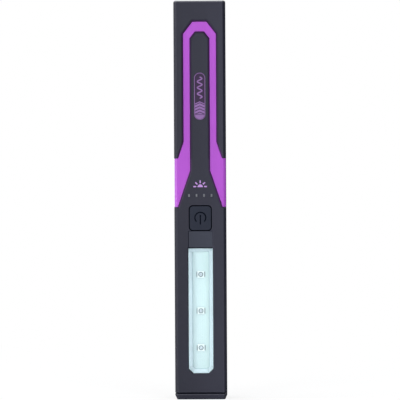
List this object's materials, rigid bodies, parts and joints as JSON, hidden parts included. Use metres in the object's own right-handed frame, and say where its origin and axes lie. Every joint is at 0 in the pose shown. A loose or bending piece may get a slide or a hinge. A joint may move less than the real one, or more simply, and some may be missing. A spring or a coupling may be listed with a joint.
{
  "type": "uv curing lamp",
  "caption": "Slim square-section hand lamp with ultraviolet LEDs behind a clear window, a thumb button, a purple handle frame and a swivelling magnetic clip.",
  "frame": {"origin": "centre of the nose face that the lamp stands on", "axes": "+Z along the lamp from the nose to the end of the handle; -Y is the way the window and button face; +X is on the right when the window is looked at"},
  "size_m": [0.0262, 0.0282, 0.2],
  "materials": {
    "black_plastic": "fine moulded texture, satin",
    "purple_plastic": "smooth, semi-gloss",
    "button_plastic": "fine moulded texture",
    "badge_film": "printed film",
    "clear_plastic": "clear polycarbonate",
    "frosted_plastic": "frosted acrylic",
    "white_plastic": "smooth white",
    "rubber": "matte",
    "board_white": "white solder mask",
    "board_green": "green solder mask",
    "ceramic": "white ceramic",
    "led_silicone": "clear silicone",
    "thermal_grey": "soft pad",
    "aluminium": "extruded",
    "steel": "zinc plated",
    "spring_steel": "brushed",
    "nickel": "nickel plated",
    "dark_steel": "black oxide",
    "chip_black": "moulded epoxy",
    "ferrite": "ferrite",
    "cell_sleeve": "shrink sleeve",
    "red_wire": "insulated wire",
    "black_wire": "insulated wire"
  },
  "bodies": {
    "housing": {"front_cover": "black_plastic", "trim_frame": "purple_plastic", "handle_cover": "black_plastic", "rear_cover": "black_plastic", "nose_cap": "black_plastic", "badge_plate": "badge_film", "housing_seal": "rubber", "lens_window": "clear_plastic", "lens_gasket": "rubber", "reflector_tray": "white_plastic", "led_board": "board_white", "led_package_1": "ceramic", "led_package_2": "ceramic", "led_package_3": "ceramic", "led_dome_1": "led_silicone", "led_dome_2": "led_silicone", "led_dome_3": "led_silicone", "thermal_pad": "thermal_grey", "heat_spreader": "aluminium", "switch_body": "chip_black", "light_guide": "frosted_plastic", "indicator_led_1": "ceramic", "indicator_led_2": "ceramic", "indicator_led_3": "ceramic", "indicator_led_4": "ceramic", "main_board": "board_green", "charge_chip": "chip_black", "driver_inductor": "ferrite", "usb_socket": "nickel", "port_flap_pin": "steel", "battery_cell": "cell_sleeve", "battery_foam_upper": "rubber", "battery_foam_lower": "rubber", "battery_wire_red": "red_wire", "battery_wire_black": "black_wire", "led_wire_red": "red_wire", "led_wire_black": "black_wire", "housing_screw_1": "dark_steel", "housing_screw_2": "dark_steel", "housing_screw_3": "dark_steel", "housing_screw_4": "dark_steel", "housing_screw_5": "dark_steel", "housing_screw_6": "dark_steel"},
    "button": {"power_button": "button_plastic"},
    "plunger": {"switch_plunger": "ceramic"},
    "flap": {"port_flap": "black_plastic"},
    "clip": {"swivel_clip": "spring_steel", "clip_magnet": "nickel", "clip_screw": "steel", "clip_nut": "steel", "clip_washer": "steel"}
  },
  "joints": [
    {"name": "button_press", "type": "slide", "parent": "housing", "child": "button", "axis": [0, 1, 0], "range_m": [0, 0.0005]},
    {"name": "plunger_press", "type": "slide", "parent": "housing", "child": "plunger", "axis": [0, 1, 0], "range_m": [0, 0.0005]},
    {"name": "flap_swing", "type": "hinge", "parent": "housing", "child": "flap", "pos_m": [-0.01195, 0.0063, 0.088], "axis": [0, 0, -1], "range_deg": [0, 100]},
    {"name": "clip_swivel", "type": "hinge", "parent": "housing", "child": "clip", "pos_m": [0, 0.012, 0.108], "axis": [0, 1, 0], "continuous": true}
  ],
  "couplings": [
    {"joint": "plunger_press", "follows": "button_press", "ratio": 1}
  ]
}
